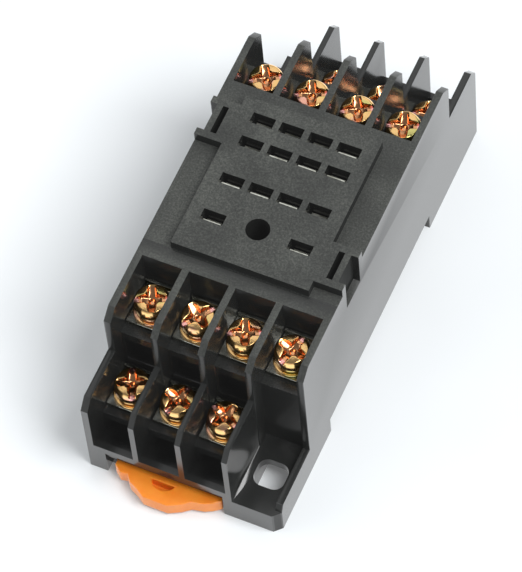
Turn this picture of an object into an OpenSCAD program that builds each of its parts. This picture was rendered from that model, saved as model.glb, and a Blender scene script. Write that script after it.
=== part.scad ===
// Relay socket for a four-pole plug-in relay, with screw terminals at both ends.
// X is the width, Y the length (front end at -Y), Z points up from the mounting surface.
// The housing is the same when turned half a turn about Z, apart from the clip pocket.

/* [Housing] */
// Overall width of the housing
body_w = 29.5; // [29:0.1:34]
// Overall length of the housing
body_l = 72; // [72:0.5:80]
// Height of the deck and of the inner bay walls
deck_z = 27; // [26.5:0.1:30]
// Thickness of the walls between the terminal bays
wall = 1.05; // [0.8:0.05:1.2]
// Distance from the middle to the back wall of the inner bays
back_y = 15.5; // [15.5:0.1:16]
// Thickness of the back wall of the inner bays
back_t = 1.2; // [0.8:0.1:1.6]
// Height of the walls between the outer bays
low_wall_z = 17.7; // [16.5:0.1:18.5]
// Thickness of the walls between the outer bays
low_wall = 0.85; // [0.7:0.05:1.05]
// Height of the lip in front of the outer bays
lip_z = 6.5; // [6:0.1:6.8]
// Height of the screw-down flange
flange_z = 4.65; // [4:0.05:5]
// Height of the rim along the side of the flange
flange_rim_z = 6.05; // [5.2:0.05:6.5]
// Distance from the middle to the end of the inner bay walls
inner_wall_y = 26.4; // [26.2:0.1:28]
// Distance from the middle to the end of the side wall above the flange
flange_wall_y = 25; // [24.8:0.1:26]

/* [Relay seat] */
// Height of the relay seat above the deck
seat_rise = 1.6; // [1:0.1:2]
// Width of the relay seat
seat_w = 20.9; // [20.5:0.1:22]
// Length of the relay seat
seat_l = 25.9; // [25.5:0.1:28]
// Length of each blade slot
slot_l = 3.45; // [3:0.05:3.6]
// Width of each blade slot
slot_w = 1.7; // [1.4:0.05:1.8]
// Spacing of the blade slots across the seat
slot_pitch = 4.4; // [4.3:0.05:4.5]
// Diameter of the round hole in the seat
seat_hole_d = 3.5; // [2.5:0.1:3.6]
// Spacing of the spring pockets from one side to the other
ear_pocket_pitch = 24.6; // [24.5:0.1:25]
// Width of each spring pocket
ear_pocket_w = 0.9; // [0.6:0.05:1]
// Length of each spring pocket
ear_pocket_l = 4.6; // [4:0.1:5]

/* [Terminals] */
// Height of the inner clamping plates
inner_plate_z = 20.3; // [19.8:0.1:20.6]
// Height of the outer clamping plates
outer_plate_z = 10.65; // [10.3:0.05:11]
// Thickness of the clamping plates
plate_t = 0.8; // [0.6:0.1:1]
// Length of the inner clamping plates
inner_plate_l = 7; // [6.6:0.1:7.4]
// Length of the outer clamping plates
outer_plate_l = 6.5; // [6.3:0.1:7]
// Thickness of the contact springs
spring_t = 0.45; // [0.3:0.05:0.5]
// Width of the strips that lead inwards
strip_w = 2; // [1.4:0.1:2.1]

/* [Screws] */
// Diameter of the terminal screws
screw_d = 2.9; // [2.5:0.1:3]
// Length of a terminal screw under its head
screw_l = 6; // [5:0.1:6.2]
// Diameter of the screw heads
head_d = 5.2; // [4.8:0.1:5.3]
// Height of the screw heads
head_h = 2.15; // [1.8:0.05:2.4]
// Gap between a flat washer and the walls of its bay
washer_gap = 0.18; // [0.15:0.01:0.4]
// Thickness of the flat washers
washer_t = 0.5; // [0.4:0.05:0.6]
// Diameter of the spring washers
lock_washer_d = 5; // [4.6:0.1:5.2]
// Thickness of the spring washers
lock_washer_t = 0.75; // [0.6:0.05:0.8]

/* [Rail mounting] */
// Width of the channel for the 35 mm rail
rail_gap = 36.2; // [35.8:0.1:36.4]
// Depth of the channel for the rail
rail_depth = 3.3; // [3:0.1:3.4]
// Depth that the hook and the latch reach under the rail edge
rail_catch = 1.7; // [1.2:0.1:2]
// Width of the rail clip
clip_w = 16.4; // [15:0.1:16.6]
// Thickness of the rail clip
clip_t = 2.5; // [2.2:0.1:2.6]
// Distance from the housing to the end of the clip's nose
clip_nose = 3.25; // [2.8:0.05:4]
// Size of a mounting slot across the housing
mount_slot_l = 4.6; // [4.4:0.1:4.8]
// Size of a mounting slot along the housing
mount_slot_w = 4.3; // [4.1:0.1:4.6]
// Distance of the mounting slots from the side of the housing
mount_slot_side = 3.85; // [3.7:0.05:4]
// Distance of the mounting slots from the middle, along the housing
mount_slot_y = 29.95; // [29.5:0.05:30.2]

/* [Hidden] */
columns = 4;
half_w = body_w / 2;
half_l = body_l / 2;
pitch = (body_w - wall) / columns;
bay_w = pitch - wall;
cut = 0.5; // extra depth that takes a cut clear through a face

// steps of an end, measured from the middle outwards
inner_shelf_edge = 1.7; // shelf in front of an inner plate
outer_shelf_edge = 1.2; // shelf in front of an outer plate
riser_gap = 0.3; // gap between the riser and an outer plate
shelf_y = back_y + inner_plate_l + inner_shelf_edge;
outer_plate_y = shelf_y + riser_gap;
outer_shelf_y = outer_plate_y + outer_plate_l + outer_shelf_edge;
low_inset = (wall - low_wall) / 2;
lip_t = 1;
pocket_floor_z = 5.2;
recess_depth = 1.8;
recess_side = 0.5;
recess_floor = 1.8;
recess_roof = 1.6;
plate_play = 0.08; // gap beside each clamping plate
end_chamfer_y = 1.84;
end_chamfer_z = 1.55;
low_chamfer_y = 1.5;
low_chamfer_z = 1.8;
flange_chamfer = 1.1;
flange_skin = 1.5;
flange_rim_slope = 0.6;
mount_slot_r = 1.5;
mount_slot_x = half_w - mount_slot_side;

// screws: their axes and the space under them
inner_screw_y = back_y + 4.15;
outer_screw_y = outer_plate_y + 3.65;
plate_rim_t = 0.5;
plate_rim_h = 0.8;
tail_r = screw_d / 2 + 0.65;
tail_gap = 0.7;
washer_d = bay_w - 2 * washer_gap;
collar_r = screw_d / 2 + 0.55;
collar_h = 0.9;
thread_play = 0.05;
seat_gap = 0.04; // gap between the pieces under a screw head, so that it turns freely
stack_h = washer_t + lock_washer_t + 3 * seat_gap;
washer_bore_r = screw_d / 2 + 0.15;

// relay seat
seat_z = deck_z + seat_rise;
slot_rows = [9.95, 5.85, -0.7, -7.05];
seat_hole_y = -6.6;
roof_t = 2;
roof_z = seat_z - roof_t;
deck_t = 1.5;
cell_l = slot_l + 0.25;
cell_w = 3.2;
cell_wall = 0.6;
cell_depth = 5.3;
cell_z = roof_z - cell_depth;
boss_t = 0.9;

// ears beside the seat
ear_y = 4.45;
ear_l = 6.8;
ear_window_z = 22.2;
ear_pocket_z = 12;
ear_pocket_x = ear_pocket_pitch / 2;

// hollow for the contacts and the plate that closes it
cavity_w = ear_pocket_pitch - ear_pocket_w - 1.3;
cavity_l = 2 * (back_y - back_t);
cover_t = 1.5;
cover_rim = 2.1;
cover_play = 0.1;
cover_z = rail_depth + cover_t;
cover_w = cavity_w + 2 * cover_rim;
cover_l = cavity_l + 2 * cover_rim;
peg_r = 0.8;
peg_h = 3;

// contact receptacles under the blade slots
spring_w = 2.8;
spring_half = 1.4;
spring_pinch = 0.17;
leaf_gap = 0.045; // gap between the front leaf of a spring and its slot
spring_mouth = slot_w / 2 - spring_t - leaf_gap;
spring_top = roof_z - 0.4;
spring_z = inner_plate_z - plate_t - 3;
spring_bend_z = spring_top - 4.8;
jog_l = 2.8;
wall_strip_gap = 0.8; // gap between the outermost strips and the side of the hollow
wall_strip_x = (cavity_w - strip_w) / 2 - wall_strip_gap;
centre_strip_x = pitch * 0.55;

// rail clip, its pocket and its guides
clip_x = -2.45;
clip_pocket_x = -2.95;
clip_pocket_w = 18.1;
clip_z = 0.5;
clip_roof_z = clip_z + clip_t + 0.6;
clip_play = 0.3;
notch_z = 5.1;
notch_depth = 0.5;
clip_travel = 3;
guide_w = 1.2;
guide_h = 1.2;
guide_inset = 1.5;
catch_z = 2;
catch_w = 9;
core_wall = 1.1;
core_skin = 1.3;
tip_recess_r = 1.95;
tip_recess_x = -0.65;
tip_recess_near = 0.1;
tip_recess_far = 1.35;
tip_recess_depth = 1.7;

// Each contact: end (1 rear, -1 front), level (0 inner, 1 outer), bay column, slot column, slot row
CONTACTS = [
    [1, 0, 3, 3, 0],
    [1, 0, 2, 2, 0],
    [1, 0, 1, 1, 0],
    [1, 0, 0, 0, 0],
    [1, 1, 3, 3, 1],
    [1, 1, 2, 2, 1],
    [1, 1, 1, 1, 1],
    [-1, 1, 0, 0, 1],
    [-1, 0, 3, 3, 2],
    [-1, 0, 2, 2, 2],
    [-1, 0, 1, 1, 2],
    [-1, 0, 0, 0, 2],
    [-1, 1, 2, 3, 3],
    [-1, 1, 1, 0, 3]
];

// Angle at which each screw was left after tightening
SCREW_TURNS = [18, 27, 23, 30, 12, 35, 20, -66, 74, 23, 53, 23, -23, 74];

// Distance from the top of the seat down to the front leaf of each spring
LEAF_DROPS = [0.5, 0.9, 1.9, 1.9, 0.5, 0.5, 0.5, 1.9, 0.9, 0.5, 0.5, 0.5, 0.6, 0.6];

function two_digits(i) = str(i < 10 ? "0" : "", i);
function numbered(name, i) = str(name, "_", two_digits(i + 1));

function bay_x(i) = -half_w + wall + bay_w / 2 + i * pitch;
function slot_x(k) = (k - (columns - 1) / 2) * slot_pitch;
function plate_z(level) = level == 0 ? inner_plate_z : outer_plate_z;
function plate_y(level) = level == 0 ? back_y + plate_play : outer_plate_y;
function plate_l(level) = level == 0 ? inner_plate_l : outer_plate_l;
function screw_y(level) = level == 0 ? inner_screw_y : outer_screw_y;
function strip_x(column) = let (side = column < columns / 2 ? -1 : 1)
    side * (column == 0 || column == columns - 1 ? wall_strip_x : centre_strip_x);

// Side outlines, as distance from the middle and height
TALL_WALL = [
    [0, 0], [inner_wall_y, 0], [inner_wall_y, deck_z - end_chamfer_z],
    [inner_wall_y - end_chamfer_y, deck_z], [0, deck_z]
];
LOW_WALL = [
    [inner_wall_y - cut, 0], [half_l, 0], [half_l, low_wall_z - low_chamfer_z],
    [half_l - low_chamfer_y, low_wall_z], [inner_wall_y - cut, low_wall_z]
];
FLANGE_WALL = [
    [0, 0], [half_l - flange_chamfer, 0], [half_l - flange_chamfer, flange_z],
    [half_l - flange_chamfer - flange_rim_slope, flange_rim_z], [flange_wall_y, flange_rim_z],
    [flange_wall_y, deck_z - end_chamfer_z], [flange_wall_y - end_chamfer_y, deck_z], [0, deck_z]
];
STEPS = [
    [0, 0], [half_l, 0], [half_l, lip_z], [half_l - lip_t, lip_z], [half_l - lip_t, pocket_floor_z],
    [outer_shelf_y, pocket_floor_z], [outer_shelf_y, outer_plate_z - plate_t],
    [shelf_y, outer_plate_z - plate_t], [shelf_y, inner_plate_z - plate_t],
    [0, inner_plate_z - plate_t]
];
CORE = [
    [-cut, 0], [shelf_y, 0], [shelf_y, inner_plate_z - plate_t], [back_y, inner_plate_z - plate_t],
    [back_y, deck_z], [-cut, deck_z]
];

// Outline of the clip's head, as parts of its half width and of its nose
CLIP_HEAD = [
    [-1, 0], [-0.86, 0.28], [-0.73, 0.22], [-0.62, 0.55], [-0.46, 0.74], [-0.3, 1],
    [0.16, 1], [0.38, 0.71], [0.52, 0.43], [0.74, 0.32], [0.87, 0.15], [1, -0.1]
];

// Box between two corners
module block(low, high) {
    translate(low) cube(high - low);
}

// Side outline, drawn in length and height, made w wide from x onwards
module slab(x, w, outline) {
    translate([x, 0, 0]) rotate([90, 0, 90]) linear_extrude(w) polygon(outline);
}

// The children at the rear end and, turned half a turn, at the front end
module both_ends() {
    children();
    rotate([0, 0, 180]) children();
}

// Screw-down flange in the first column of the rear end
module flange() {
    linear_extrude(flange_z)
        polygon([
            [-half_w, 0], [-half_w, half_l - flange_chamfer], [-half_w + flange_chamfer, half_l],
            [-half_w + pitch + wall, half_l], [-half_w + pitch + wall, 0]
        ]);
}

// Rounded slot for a mounting screw
module mount_slot() {
    x = mount_slot_l / 2;
    y = mount_slot_w / 2;
    r = mount_slot_r;
    h = flange_z + cut;
    translate([-mount_slot_x, mount_slot_y, 0]) {
        for (i = [-1, 1], j = [-1, 1])
            translate([i * (x - r), j * (y - r), -cut]) cylinder(r = r, h = h + cut, $fn = 48);
        block([-x, r - y, -cut], [x, y - r, h]);
        block([r - x, -y, -cut], [x - r, y, h]);
    }
}

// Hollow under the flange
module flange_hollow() {
    block([-half_w + wall, shelf_y, -cut],
        [mount_slot_l / 2 - mount_slot_x, half_l - core_wall, flange_z - flange_skin]);
}

// Solid form of one end, drawn at the rear
module end_solid() {
    slab(-half_w, body_w, CORE);
    slab(-half_w + pitch + low_inset, body_w - pitch - low_inset, STEPS);
    flange();
    slab(-half_w, wall, FLANGE_WALL);
    for (i = [1:columns])
        slab(-half_w + i * pitch, wall, TALL_WALL);
    for (i = [1:columns - 1])
        slab(-half_w + i * pitch + low_inset, low_wall, LOW_WALL);
    slab(half_w - wall, wall, LOW_WALL);
}

// Pocket in the face under a shelf, behind where the wires lie
module shelf_recess(column, face_y, low, high) {
    x = bay_w / 2 - recess_side;
    block([bay_x(column) - x, face_y - recess_depth, low], [bay_x(column) + x, face_y + cut, high]);
}

// Space under a screw for its tail and the plate's collar
module tail_hole(column, level) {
    depth = screw_l - stack_h + tail_gap;
    top = plate_z(level) - plate_t;
    translate([bay_x(column), screw_y(level), plate_z(level) - depth])
        cylinder(r = tail_r, h = top - plate_z(level) + depth + cut, $fn = 40);
}

// Slot through which a strip leads inwards from its plate
module strip_slot(column, level) {
    play = 0.1;
    z = plate_z(level) - plate_t;
    x = strip_x(column);
    block([x - strip_w / 2 - play, cavity_l / 2 - cut, z],
        [x + strip_w / 2 + play, plate_y(level) + cut, z + plate_t + play]);
}

// Cuts of one end, drawn at the rear
module end_cuts() {
    mount_slot();
    flange_hollow();
    for (i = [0:columns - 1]) {
        tail_hole(i, 0);
        strip_slot(i, 0);
    }
    for (i = [1:columns - 1]) {
        tail_hole(i, 1);
        strip_slot(i, 1);
        shelf_recess(i, outer_shelf_y, pocket_floor_z, outer_plate_z - plate_t - recess_roof);
        shelf_recess(i, shelf_y, outer_plate_z + recess_floor, inner_plate_z - plate_t - recess_roof);
    }
}

// Hollows that are open below at the rear end, one for each bay
module rear_cores() {
    inner_top = outer_plate_z - plate_t - core_skin;
    start = rail_gap / 2 + core_wall;
    outer_top = pocket_floor_z - core_skin;
    for (i = [0:columns - 1])
        block([bay_x(i) - bay_w / 2, start, -cut], [bay_x(i) + bay_w / 2, shelf_y - core_wall, inner_top]);
    for (i = [1:columns - 1])
        block([bay_x(i) - bay_w / 2, shelf_y, -cut],
            [bay_x(i) + bay_w / 2, half_l - core_wall, outer_top]);
}

// Pocket for the rail clip at the front end, open below and at the front, with a guide on each side
module clip_pocket() {
    left = clip_pocket_x - clip_pocket_w / 2;
    right = clip_pocket_x + clip_pocket_w / 2;
    inner_end = -rail_gap / 2 + cut;
    guide_from = -half_l + guide_inset;
    guide_to = -rail_gap / 2 - core_wall;
    difference() {
        union() {
            block([left, -half_l - cut, -cut], [right, inner_end, clip_roof_z]);
            block([left, -half_l - cut, -cut], [right, -half_l + notch_depth, notch_z]);
        }
        block([left - cut, guide_from, -2 * cut], [clip_x - clip_w / 2 + guide_w, guide_to, guide_h]);
        block([clip_x + clip_w / 2 - guide_w, guide_from, -2 * cut], [right + cut, guide_to, guide_h]);
    }
}

// Fixed hook at the rear that the rail edge goes behind
module rail_hook() {
    slab(-catch_w / 2, catch_w, [
        [rail_gap / 2 - rail_catch, clip_z], [rail_gap / 2 + core_wall / 2, clip_z],
        [rail_gap / 2 + core_wall / 2, catch_z + 0.6], [rail_gap / 2, catch_z],
        [rail_gap / 2 - rail_catch, catch_z - 0.4]
    ]);
}

// Raised seat for the relay
module seat() {
    block([-seat_w / 2, -seat_l / 2, deck_z - cut], [seat_w / 2, seat_l / 2, seat_z]);
}

// Raised ear beside the seat, drawn at the rear left
module ear() {
    block([-half_w, ear_y, deck_z - cut], [-seat_w / 2 + cut, ear_y + ear_l, seat_z]);
}

// Window in the side of an ear and the deep pocket behind it for a relay spring
module ear_cuts() {
    y = ear_y + (ear_l - ear_pocket_l) / 2;
    block([-half_w - cut, y, ear_window_z], [-half_w + wall, y + ear_pocket_l, seat_z + cut]);
    block([-ear_pocket_x - ear_pocket_w / 2, y, ear_pocket_z],
        [-ear_pocket_x + ear_pocket_w / 2, y + ear_pocket_l, seat_z + cut]);
}

// The children at every blade slot
module at_slots() {
    for (row = [0:2], k = [0:columns - 1])
        translate([slot_x(k), slot_rows[row], 0]) children();
    for (k = [0, columns - 1])
        translate([slot_x(k), slot_rows[3], 0]) children();
}

// Block under the roof that holds the contacts apart
module contact_block() {
    x = slot_x(columns - 1) + cell_l / 2 + cell_wall;
    y = cell_w / 2 + cell_wall;
    block([-x, slot_rows[3] - y, cell_z], [x, slot_rows[0] + y, seat_z]);
    translate([0, seat_hole_y, ear_pocket_z])
        cylinder(r = seat_hole_d / 2 + boss_t, h = roof_z - ear_pocket_z, $fn = 48);
}

// Hollow of the housing
module cavity() {
    difference() {
        block([-cavity_w / 2, -cavity_l / 2, 0], [cavity_w / 2, cavity_l / 2, deck_z - deck_t]);
        contact_block();
    }
    block([-cover_w / 2 - cover_play, -cover_l / 2 - cover_play, 0],
        [cover_w / 2 + cover_play, cover_l / 2 + cover_play, cover_z]);
    at_slots() {
        block([-cell_l / 2, -cell_w / 2, cell_z - cut], [cell_l / 2, cell_w / 2, roof_z]);
        block([-slot_l / 2, -slot_w / 2, roof_z - cut], [slot_l / 2, slot_w / 2, seat_z + cut]);
    }
    translate([0, seat_hole_y, ear_pocket_z + boss_t])
        cylinder(d = seat_hole_d, h = seat_z, $fn = 48);
}

// Pegs of the bottom cover, or the holes for them
module pegs(r, h) {
    for (x = [-1, 1], y = [-1, 1])
        translate([x * (cavity_w + cover_rim) / 2, y * (cavity_l + cover_rim) / 2, cover_z])
            cylinder(r = r, h = h, $fn = 24);
}

module housing() {
    color("#3b3c39")
        difference() {
            union() {
                both_ends() {
                    end_solid();
                    ear();
                }
                seat();
            }
            both_ends() {
                end_cuts();
                ear_cuts();
            }
            cavity();
            pegs(peg_r + 0.02, peg_h + 0.3);
            difference() {
                union() {
                    block([-half_w - cut, -rail_gap / 2, -cut], [half_w + cut, rail_gap / 2, rail_depth]);
                    rear_cores();
                }
                rail_hook();
            }
            clip_pocket();
        }
}

// Plate that closes the hollow, pressed in by four pegs, with ribs under the contact strips
module bottom_cover() {
    rib_t = 1;
    rib_top = outer_plate_z - plate_t - 0.15;
    color("#343532") {
        difference() {
            block([-cover_w / 2, -cover_l / 2, rail_depth], [cover_w / 2, cover_l / 2, cover_z]);
            for (y = [-1, 1])
                block([-cavity_w / 4, y * cover_l / 4 - 1, rail_depth - cut],
                    [cavity_w / 4, y * cover_l / 4 + 1, rail_depth + cover_t / 3]);
        }
        for (y = [-1, 0, 1])
            block([-cavity_w / 2 + 0.3, y * cavity_l / 2.6 - rib_t / 2, cover_z - 0.01],
                [cavity_w / 2 - 0.3, y * cavity_l / 2.6 + rib_t / 2, rib_top]);
        pegs(peg_r, peg_h);
    }
}

// Head of the clip outside the housing, with a blind recess for a screwdriver's tip
module clip_head() {
    x = clip_w / 2;
    inside = guide_inset - clip_play - half_l;
    chord = tip_recess_far - tip_recess_r - tip_recess_near;
    difference() {
        linear_extrude(clip_t)
            polygon(concat(
                [[-x, inside]],
                [for (p = CLIP_HEAD) [p[0] * x, -half_l - p[1] * clip_nose]],
                [[x, inside]]
            ));
        translate([tip_recess_x, tip_recess_r - tip_recess_far - half_l, clip_t - tip_recess_depth])
            difference() {
                cylinder(r = tip_recess_r, h = clip_t, $fn = 48);
                block([-clip_w, chord, -cut], [clip_w, clip_w, clip_t + cut]);
            }
    }
}

// One spring leg of the clip, drawn on its right
module clip_leg() {
    leg_t = 1.1;
    x = clip_w / 2 - guide_w - clip_play - leg_t;
    from = -half_l + guide_inset + 2;
    to = -rail_gap / 2 - core_wall - clip_travel;
    block([x, from, 0], [x + leg_t, to, clip_t]);
    translate([x + leg_t / 2, to, 0]) cylinder(d = leg_t + 0.5, h = clip_t, $fn = 32);
}

module rail_clip() {
    stem_w = 0.52 * clip_w;
    inner = -rail_gap / 2 + rail_catch;
    shoulder = -half_l + guide_inset - clip_play - 0.01;
    rail_edge = -rail_gap / 2 - 0.4;
    color("#f08c28")
        translate([clip_x, 0, clip_z]) {
            clip_head();
            block([-clip_w / 2, shoulder, guide_h + clip_play - clip_z],
                [clip_w / 2, shoulder + 3, clip_t]);
            block([-clip_w / 2 + guide_w + clip_play, shoulder, 0],
                [clip_w / 2 - guide_w - clip_play, shoulder + 3, clip_t]);
            slab(-stem_w / 2, stem_w, [
                [shoulder, 0], [inner - 0.8, 0], [inner, 0.6], [inner, catch_z - clip_z - 0.3],
                [rail_edge, catch_z - clip_z], [rail_edge, clip_t], [shoulder, clip_t]
            ]);
            clip_leg();
            mirror([1, 0, 0]) clip_leg();
        }
}

// Forked spring that grips one relay blade, drawn at its slot, with its front leaf drawn out upwards
module receptacle(end, level, leaf_top) {
    o = spring_half;
    i = spring_half - spring_t;
    p = spring_pinch;
    m = spring_mouth;
    straight_z = spring_top - 1.4;
    bend = straight_z - 0.5;
    slab(-spring_w / 2, spring_w, [
        [-o, spring_z], [o, spring_z], [o, spring_bend_z], [p + spring_t, bend],
        [p + spring_t, straight_z], [m + spring_t, spring_top], [m, spring_top],
        [p, straight_z], [p, bend], [i, spring_bend_z], [i, spring_z + spring_t],
        [-i, spring_z + spring_t], [-i, spring_bend_z], [-p, bend], [-p, straight_z],
        [-m, spring_top], [-m, leaf_top], [-m - spring_t, leaf_top], [-m - spring_t, spring_top],
        [-p - spring_t, straight_z],
        [-p - spring_t, bend], [-o, spring_bend_z]
    ]);
    if (level == 1)
        mirror([0, end < 0 ? 1 : 0, 0])
            block([-strip_w / 2, i, outer_plate_z - plate_t], [strip_w / 2, o, spring_z + spring_t]);
}

// One contact, stamped and folded from sheet: clamping plate, strip and blade receptacle
module terminal(index) {
    contact = CONTACTS[index];
    end = contact[0];
    level = contact[1];
    column = contact[2];
    slot = [slot_x(contact[3]), slot_rows[contact[4]]];
    x = bay_x(column);
    lead_x = strip_x(column);
    y = plate_y(level);
    z = plate_z(level) - plate_t;
    plate_w = bay_w - 2 * plate_play;
    w = strip_w / 2;
    join_y = slot[1] + end * (spring_half - spring_t);
    turn_y = slot[1] + end * (spring_half + 0.2);
    lead_y = turn_y + end * jog_l;
    color("#c9c6bd") {
        difference() {
            union() {
                mirror([0, end < 0 ? 1 : 0, 0]) {
                    block([x - plate_w / 2, y, z], [x + plate_w / 2, y + plate_l(level), z + plate_t]);
                    block([x - plate_w / 2, y, z],
                        [x + plate_w / 2, y + plate_rim_t, z + plate_t + plate_rim_h]);
                    translate([x, screw_y(level), z - collar_h])
                        cylinder(r = collar_r, h = collar_h + 0.01, $fn = 40);
                }
            }
            translate([x, end * screw_y(level), z - collar_h - cut])
                cylinder(d = screw_d + 2 * thread_play, h = collar_h + plate_t + 2 * cut, $fn = 40);
        }
        translate([0, 0, z])
            linear_extrude(plate_t)
                polygon([
                    [lead_x - w, end * (y + 0.3)], [lead_x - w, lead_y], [slot[0] - w, turn_y],
                    [slot[0] - w, join_y], [slot[0] + w, join_y], [slot[0] + w, turn_y],
                    [lead_x + w, lead_y], [lead_x + w, end * (y + 0.3)]
                ]);
        translate([slot[0], slot[1], 0]) receptacle(end, level, seat_z - LEAF_DROPS[index]);
    }
}

// The children at the middle of the top of a clamping plate
module at_plate(index) {
    contact = CONTACTS[index];
    translate([bay_x(contact[2]), contact[0] * screw_y(contact[1]), plate_z(contact[1])])
        rotate([0, 0, SCREW_TURNS[index]]) children();
}

// Flat washer that presses on the wire
module flat_washer(index) {
    color("#cfa565")
        at_plate(index)
            translate([0, 0, seat_gap])
                difference() {
                    cylinder(d = washer_d, h = washer_t, $fn = 48);
                    translate([0, 0, -cut]) cylinder(r = washer_bore_r, h = washer_t + 2 * cut, $fn = 48);
                }
}

// Spring washer between the flat washer and the screw head, split at one place
module spring_washer(index) {
    color("#b9a184")
        at_plate(index)
            translate([0, 0, seat_gap + washer_t + seat_gap])
                rotate_extrude(angle = 345, $fn = 48)
                    translate([washer_bore_r, 0])
                        square([lock_washer_d / 2 - washer_bore_r, lock_washer_t]);
}

// Pan-head screw with a slot across its head and a cross recess in its middle
module terminal_screw(index) {
    r = head_d / 2;
    shank_r = screw_d / 2;
    slot_t = 0.95;
    arm = 0.78 * r;
    recess = 1.1;
    edge = 0.35;
    crown = 0.2;
    shoulder = 0.55;
    rim_z = head_h - crown - shoulder;
    cone_r = 1.25;
    color("#d8ab6e")
        at_plate(index)
            translate([0, 0, stack_h])
                difference() {
                    rotate_extrude($fn = 48)
                        polygon([
                            [0, -screw_l], [shank_r - edge, -screw_l], [shank_r, -screw_l + edge],
                            [shank_r, 0], [r, 0], [r, rim_z], [r - 0.3 * shoulder, rim_z + 0.7 * shoulder],
                            [r - shoulder, rim_z + shoulder], [r / 2, head_h - crown / 4], [0, head_h]
                        ]);
                    block([-r - cut, -slot_t / 2, head_h - recess], [r + cut, slot_t / 2, head_h + cut]);
                    block([-slot_t / 2, -arm, head_h - recess], [slot_t / 2, arm, head_h + cut]);
                    translate([0, 0, head_h - 1.6 * recess])
                        cylinder(r1 = 0.3, r2 = cone_r, h = 1.6 * recess, $fn = 32);
                }
}

housing();
bottom_cover();
rail_clip();
for (i = [0:len(CONTACTS) - 1]) {
    terminal(i);
    flat_washer(i);
    spring_washer(i);
    terminal_screw(i);
}
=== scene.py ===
"""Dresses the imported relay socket: a softened black moulding, a sprung orange rail clip, tinned contacts,
and screws with captive washers in iridescent yellow zinc, on a pale studio floor."""

import math

import bmesh
import bpy
import numpy as np
from mathutils import Matrix, Vector


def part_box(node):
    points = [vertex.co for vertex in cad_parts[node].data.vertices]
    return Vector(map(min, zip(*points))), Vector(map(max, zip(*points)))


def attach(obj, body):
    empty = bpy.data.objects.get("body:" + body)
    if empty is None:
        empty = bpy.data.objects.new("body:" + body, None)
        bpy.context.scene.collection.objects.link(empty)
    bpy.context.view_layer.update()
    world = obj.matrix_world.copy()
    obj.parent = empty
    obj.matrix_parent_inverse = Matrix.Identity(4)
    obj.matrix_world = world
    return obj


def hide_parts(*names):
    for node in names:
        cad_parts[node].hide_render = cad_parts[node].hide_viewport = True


bl_info = {
    "name": "Relay socket",
    "version": (1, 0, 0),
    "blender": (4, 5, 0),
    "location": "View3D > Sidebar > Relay socket",
    "description": "Builds the surfaces and finishes of a relay socket around its packed frame",
    "category": "Object",
}

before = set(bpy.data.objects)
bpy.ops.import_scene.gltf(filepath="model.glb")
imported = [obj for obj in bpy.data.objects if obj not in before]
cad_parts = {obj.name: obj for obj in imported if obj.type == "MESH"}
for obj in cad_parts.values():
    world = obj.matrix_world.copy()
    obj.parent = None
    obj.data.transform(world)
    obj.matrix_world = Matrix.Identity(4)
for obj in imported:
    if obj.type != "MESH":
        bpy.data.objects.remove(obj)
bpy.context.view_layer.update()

MM = 0.001
SHANK_RADIUS = 1.45 * MM
WASHER_BORE_RADIUS = 1.6 * MM
SPLIT_RISE = 0.12 * MM
SPLIT_SWEEP = math.radians(343)
FLOOR_HALF = 1.6
# direction of the camera from the object, its elevation and its roll, in degrees
CAMERA_ANGLES = (29.47, 59.68, -6.44)
CAMERA_TARGET = (-0.0007, -0.006252, 0.012)
CAMERA_DISTANCE = 0.613843
CAMERA_LENS = 272.2
# angle at which each screw was left after tightening, as in the frame
SCREW_TURNS = (18, 27, 23, 30, 12, 35, 20, -66, 74, 23, 53, 23, -23, 74)
TERMINALS = sorted(n[-2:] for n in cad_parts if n.startswith("terminal_") and "screw" not in n)


# ---------------------------------------------------------------- colours and nodes


def hex_colour(code):
    """Linear RGBA of an sRGB hex colour such as #3f403d."""
    parts = [int(code[i : i + 2], 16) / 255 for i in (1, 3, 5)]
    linear = [c / 12.92 if c <= 0.04045 else ((c + 0.055) / 1.055) ** 2.4 for c in parts]
    return (*linear, 1.0)


def add_node(tree, kind, inputs=None, **settings):
    """Adds a node, sets its properties, and links or sets its inputs, which are named or numbered."""
    node = tree.nodes.new(kind)
    for name, value in settings.items():
        setattr(node, name, value)
    for key, value in (inputs or {}).items():
        if isinstance(value, bpy.types.NodeSocket):
            tree.links.new(value, node.inputs[key])
        else:
            node.inputs[key].default_value = value
    return node


def ramp(tree, factor, stops, interpolation="LINEAR"):
    """Colour ramp over a factor, from (position, colour) stops."""
    node = add_node(tree, "ShaderNodeValToRGB", {"Fac": factor})
    node.color_ramp.interpolation = interpolation
    elements = node.color_ramp.elements
    while len(elements) < len(stops):
        elements.new(0.5)
    for element, (position, colour) in zip(elements, stops):
        element.position = position
        element.color = colour
    return node.outputs["Color"]


def per_mm(size_mm):
    """Scale of a pattern on Object coordinates whose features are size_mm across."""
    return 1.0 / (size_mm * MM)


def new_material(name):
    """Empty material with an output, and its tree."""
    material = bpy.data.materials.new(name)
    material.use_nodes = True
    material.node_tree.nodes.clear()
    return material, material.node_tree


def shade(tree, shader):
    """Leads a shader to the tree's output."""
    add_node(tree, "ShaderNodeOutputMaterial", {"Surface": shader.outputs[0]})


def multiply(tree, a, b):
    """Product of two values."""
    return add_node(tree, "ShaderNodeMath", {0: a, 1: b}, operation="MULTIPLY").outputs[0]


# ---------------------------------------------------------------- materials


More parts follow.
